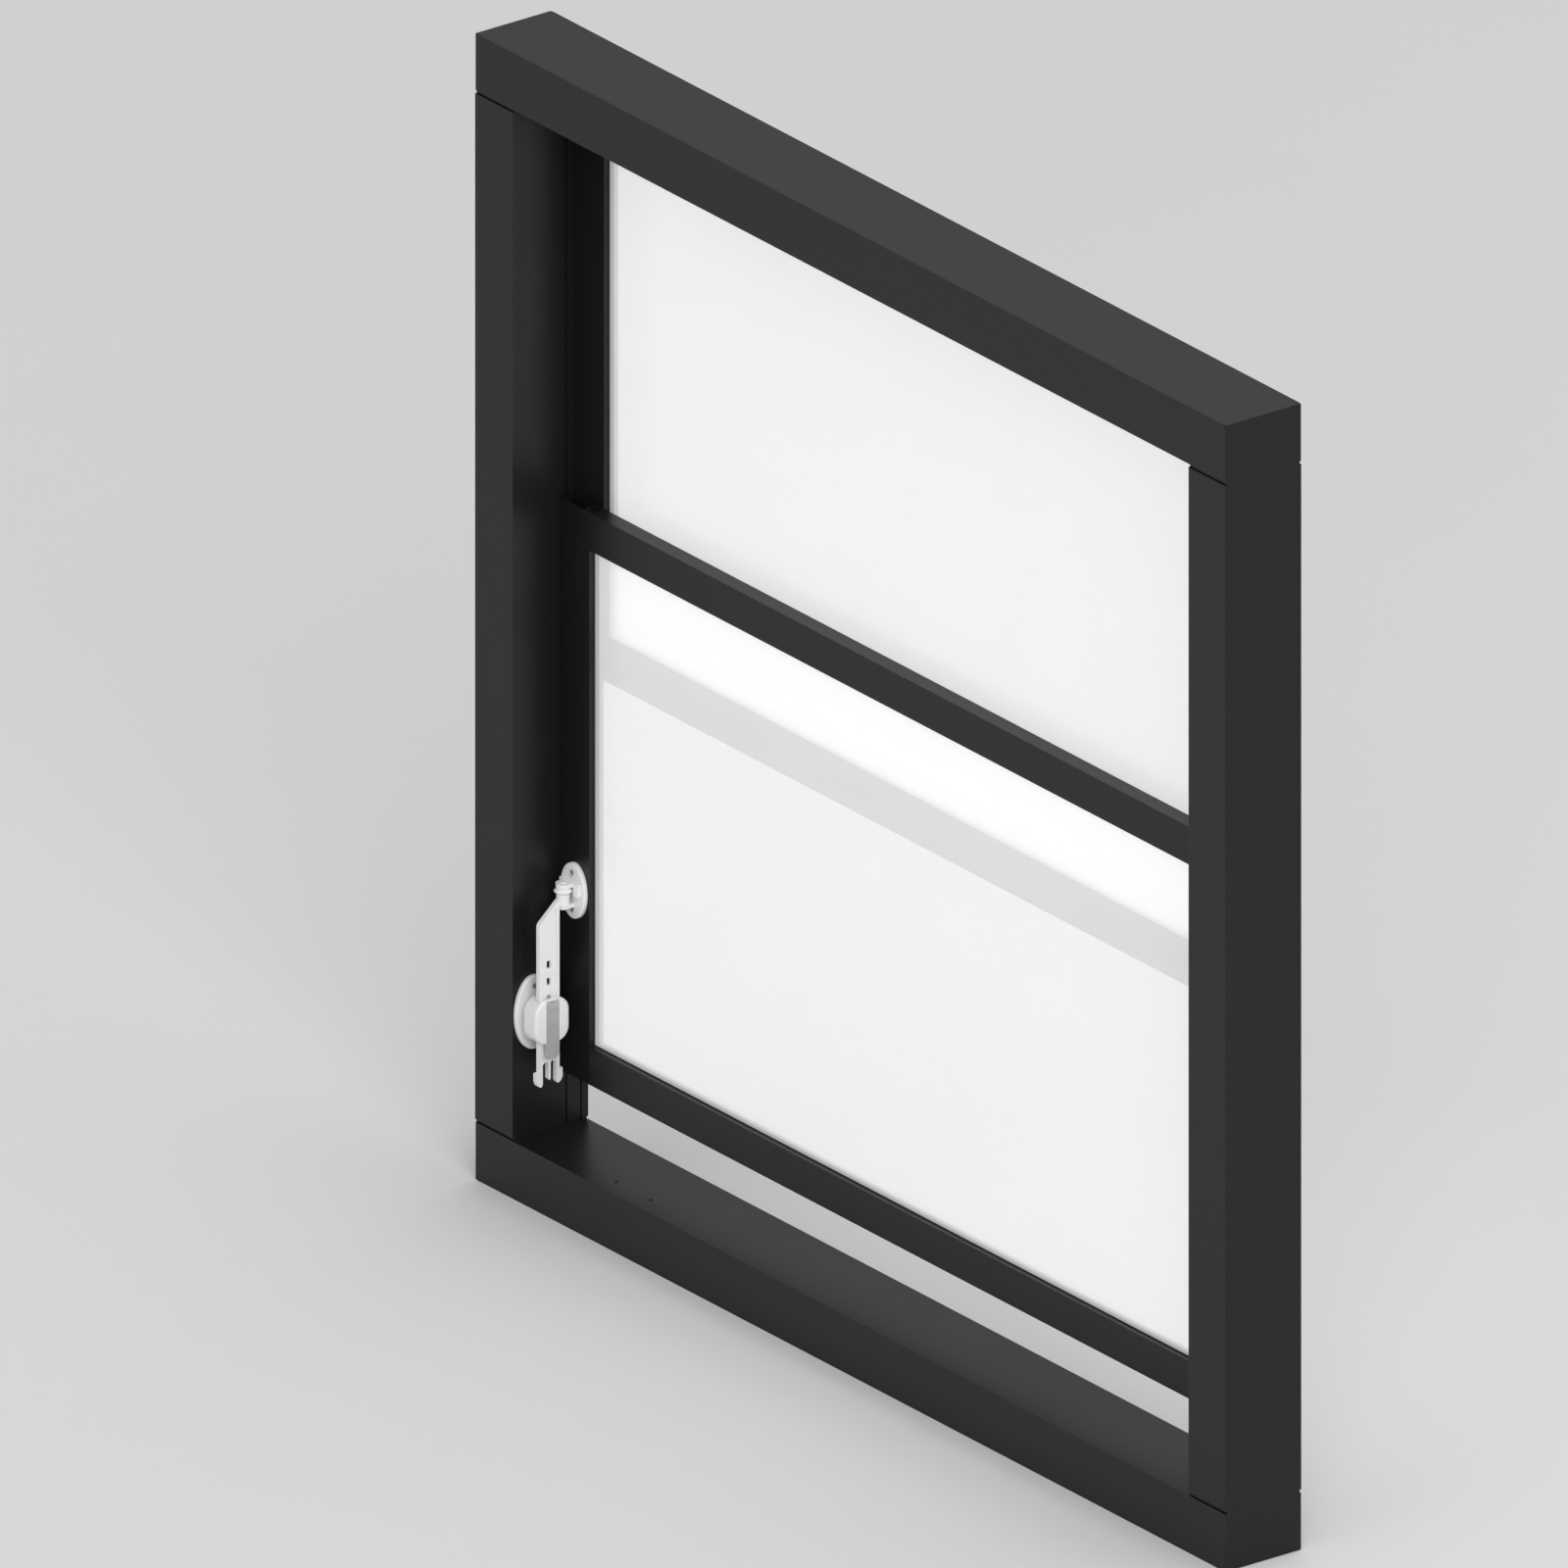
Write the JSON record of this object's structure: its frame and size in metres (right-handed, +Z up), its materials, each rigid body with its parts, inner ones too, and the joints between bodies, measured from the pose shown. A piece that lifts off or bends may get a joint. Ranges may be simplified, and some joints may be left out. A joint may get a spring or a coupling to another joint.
{
  "type": "sliding sash window with opening restrictor",
  "caption": "Vertical sliding window: glazed upper and lower sashes in a square hollow frame, with a slotted strap and lockable slider on the left jamb that limit how far the lower sash opens.",
  "frame": {"origin": "middle of the sill's underside", "axes": "+X to the right seen from the room, +Y outdoors, +Z up"},
  "size_m": [1, 0.076, 1],
  "materials": {
    "black_frame": "matt black powder coat, fine texture",
    "black_sash": "matt black powder coat, fine texture",
    "mill_aluminium": "mill finish",
    "zinc_screws": "zinc plated",
    "spring_steel": "rolled, satin",
    "frosted_glass": "milky white, smooth",
    "glazing_rubber": "matt black EPDM",
    "brush_pile": "woven black pile",
    "black_nylon": "moulded nylon",
    "white_plastic": "satin moulded white",
    "pin_plastic": "satin moulded white",
    "grey_plastic": "satin moulded grey",
    "adhesive_foam": "white closed-cell tape"
  },
  "bodies": {
    "frame": {"frame_head": "black_frame", "head_end_caps": "black_frame", "frame_sill": "black_frame", "sill_end_caps": "black_frame", "left_jamb": "black_frame", "right_jamb": "black_frame", "corner_blocks": "mill_aluminium", "corner_block_screws": "zinc_screws", "lower_balance_ribbons": "spring_steel", "upper_balance_ribbons": "spring_steel", "balance_anchors": "mill_aluminium", "jamb_plate": "white_plastic", "jamb_plate_pad": "adhesive_foam", "jamb_plate_screws": "zinc_screws", "swivel_pin": "pin_plastic"},
    "lower_sash": {"lower_left_stile": "black_sash", "lower_right_stile": "black_sash", "lower_bottom_rail": "black_sash", "lower_top_rail": "black_sash", "meeting_rail_pile": "brush_pile", "lower_corner_cleats": "mill_aluminium", "lower_corner_screws": "zinc_screws", "lower_glass": "frosted_glass", "lower_room_gasket": "glazing_rubber", "lower_weather_gasket": "glazing_rubber", "lower_setting_blocks": "glazing_rubber", "lower_guide_shoes": "black_nylon", "lower_balance_carriers": "black_nylon", "lower_balance_coils": "spring_steel", "lower_bottom_seal": "glazing_rubber", "sash_plate": "white_plastic", "sash_plate_pad": "adhesive_foam", "sash_plate_screws": "zinc_screws", "hinge_pin": "pin_plastic"},
    "upper_sash": {"upper_left_stile": "black_sash", "upper_right_stile": "black_sash", "upper_bottom_rail": "black_sash", "upper_top_rail": "black_sash", "upper_corner_cleats": "mill_aluminium", "upper_corner_screws": "zinc_screws", "upper_glass": "frosted_glass", "upper_room_gasket": "glazing_rubber", "upper_weather_gasket": "glazing_rubber", "upper_setting_blocks": "glazing_rubber", "upper_guide_shoes": "black_nylon", "upper_balance_carriers": "black_nylon", "upper_balance_coils": "spring_steel", "upper_top_seal": "glazing_rubber"},
    "strap": {"restrictor_arm": "white_plastic"},
    "slider": {"slider_base": "white_plastic", "slider_cover": "white_plastic", "slider_screws": "zinc_screws", "lever_pin": "zinc_screws", "lever_spring": "spring_steel"},
    "lever": {"release_lever": "grey_plastic"}
  },
  "joints": [
    {"name": "lower_sash_slide", "type": "slide", "parent": "frame", "child": "lower_sash", "axis": [0, 0, 1], "range_m": [-0.05, 0.025], "deforming": ["lower_balance_ribbons"]},
    {"name": "upper_sash_slide", "type": "slide", "parent": "frame", "child": "upper_sash", "axis": [0, 0, 1], "range_m": [-0.398, 0], "deforming": ["upper_balance_ribbons"]},
    {"name": "strap_hinge", "type": "hinge", "parent": "lower_sash", "child": "strap", "pos_m": [-0.428, -0.004, 0.263], "axis": [0, 0, 1], "range_deg": [-0.6, 0.6]},
    {"name": "slider_swivel", "type": "hinge", "parent": "frame", "child": "slider", "pos_m": [-0.436, -0.0185, 0.16], "axis": [1, 0, 0], "range_deg": [-1.5, 1.5]},
    {"name": "lever_release", "type": "hinge", "parent": "slider", "child": "lever", "pos_m": [-0.4231, -0.0185, 0.1746], "axis": [0, -1, 0], "range_deg": [0, 12], "stiffness_Nm_per_rad": 0.03, "springref_deg": -17.19}
  ]
}
